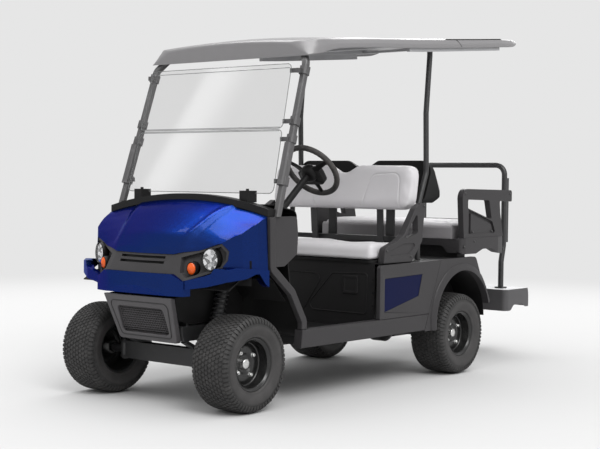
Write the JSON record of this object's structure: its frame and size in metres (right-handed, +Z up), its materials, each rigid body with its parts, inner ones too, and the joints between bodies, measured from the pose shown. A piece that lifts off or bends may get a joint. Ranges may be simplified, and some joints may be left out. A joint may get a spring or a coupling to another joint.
{
  "type": "golf cart",
  "caption": "Electric golf cart with a front bench, a flip-down rear-facing bench, canopy roof, folding windscreen and rear footrest.",
  "frame": {"origin": "centre of the cart's length and width at floor level", "axes": "+Z up, the front faces -Y, the driver's left side is +X"},
  "size_m": [1.276, 3.43, 2.1757],
  "materials": {
    "black_steel": "satin black powder coat",
    "motor_case": "matt black",
    "battery_case": "moulded case",
    "dark_plastic": "fine grained moulding",
    "grille_plastic": "fine grained moulding",
    "black_plastic": "grained moulding",
    "blue_paint": "metallic blue under clear coat",
    "lamp_chrome": "faceted reflector behind a clear lens",
    "amber_lens": "ribbed lens",
    "clear_screen": "clear sheet",
    "grey_vinyl": "grained vinyl with sewn seams",
    "tyre_rubber": "moulded rubber",
    "roof_plastic": "thermoformed sheet",
    "rail_grey": "grained moulding"
  },
  "bodies": {
    "chassis": {"frame": "black_steel", "outriggers": "black_steel", "front_axle": "black_steel", "front_springs": "black_steel", "rear_axle": "black_steel", "rear_springs": "black_steel", "drive_motor": "motor_case", "battery_pack": "battery_case", "floor_pan": "black_plastic", "pedals": "black_plastic", "rocker_panels": "dark_plastic", "hood": "blue_paint", "fascia": "dark_plastic", "headlamps": "lamp_chrome", "turn_signals": "amber_lens", "front_bumper": "blue_paint", "lower_grille": "grille_plastic", "wheel_liners": "black_plastic", "cowl_pillars": "black_plastic", "dash": "black_plastic", "cowl_side_shields": "dark_plastic", "front_struts": "black_steel", "windshield_lower": "clear_screen", "windshield_upper": "clear_screen", "windshield_clips": "black_plastic", "steering_column": "black_plastic", "seat_pod": "dark_plastic", "side_panels": "dark_plastic", "side_inserts": "blue_paint", "rear_fenders": "dark_plastic", "front_seat_back": "grey_vinyl", "hip_restraints": "black_plastic", "rear_struts": "black_steel", "rear_back_shell": "black_plastic", "rear_back_cushion": "grey_vinyl", "rear_seat_tray": "dark_plastic", "rear_armrests": "dark_plastic", "roof": "roof_plastic", "roof_rails": "rail_grey", "footrest": "rail_grey", "grab_bar": "black_steel"},
    "knuckle_left": {"knuckle_left": "black_steel"},
    "knuckle_right": {"knuckle_right": "black_steel"},
    "tie_rod": {"tie_rod": "black_steel"},
    "steering_wheel": {"steering_wheel": "black_plastic"},
    "wheel_front_left": {"rim_front_left": "black_steel", "tyre_front_left": "tyre_rubber"},
    "wheel_front_right": {"rim_front_right": "black_steel", "tyre_front_right": "tyre_rubber"},
    "wheel_rear_left": {"rim_rear_left": "black_steel", "tyre_rear_left": "tyre_rubber"},
    "wheel_rear_right": {"rim_rear_right": "black_steel", "tyre_rear_right": "tyre_rubber"},
    "front_seat": {"front_seat_base": "black_plastic", "front_seat_cushion": "grey_vinyl"},
    "rear_seat": {"rear_seat_base": "black_plastic", "rear_seat_cushion": "grey_vinyl"}
  },
  "joints": [
    {"name": "steer_left", "type": "hinge", "parent": "chassis", "child": "knuckle_left", "pos_m": [0.36, -1.425, 0.254], "axis": [0, 0, 1], "range_deg": [-28, 28]},
    {"name": "steer_right", "type": "hinge", "parent": "chassis", "child": "knuckle_right", "pos_m": [-0.36, -1.425, 0.254], "axis": [0, 0, 1], "range_deg": [-28, 28]},
    {"name": "tie_rod_pivot", "type": "hinge", "parent": "knuckle_left", "child": "tie_rod", "pos_m": [0.36, -1.275, 0.254], "axis": [0, 0, 1], "range_deg": [-28, 28]},
    {"name": "steering_wheel_turn", "type": "hinge", "parent": "chassis", "child": "steering_wheel", "pos_m": [0.256, -0.535, 1.266], "axis": [0, 0.7731, 0.6343], "range_deg": [-336, 336]},
    {"name": "front_left_spin", "type": "hinge", "parent": "knuckle_left", "child": "wheel_front_left", "pos_m": [0.5, -1.425, 0.254], "axis": [1, 0, 0], "continuous": true},
    {"name": "front_right_spin", "type": "hinge", "parent": "knuckle_right", "child": "wheel_front_right", "pos_m": [-0.5, -1.425, 0.254], "axis": [1, 0, 0], "continuous": true},
    {"name": "rear_left_spin", "type": "hinge", "parent": "chassis", "child": "wheel_rear_left", "pos_m": [0.5165, 0.531, 0.254], "axis": [1, 0, 0], "continuous": true},
    {"name": "rear_right_spin", "type": "hinge", "parent": "chassis", "child": "wheel_rear_right", "pos_m": [-0.5165, 0.531, 0.254], "axis": [1, 0, 0], "continuous": true},
    {"name": "front_seat_lift", "type": "hinge", "parent": "chassis", "child": "front_seat", "pos_m": [0, 0.075, 0.7373], "axis": [-1, 0, 0], "range_deg": [0, 26]},
    {"name": "rear_seat_flip", "type": "hinge", "parent": "chassis", "child": "rear_seat", "pos_m": [0, 1.015, 0.8223], "axis": [-1, 0, 0], "range_deg": [0, 178]}
  ],
  "couplings": [
    {"joint": "steer_right", "follows": "steer_left", "ratio": 1},
    {"joint": "tie_rod_pivot", "follows": "steer_left", "ratio": -1},
    {"joint": "steering_wheel_turn", "follows": "steer_left", "ratio": 12}
  ]
}
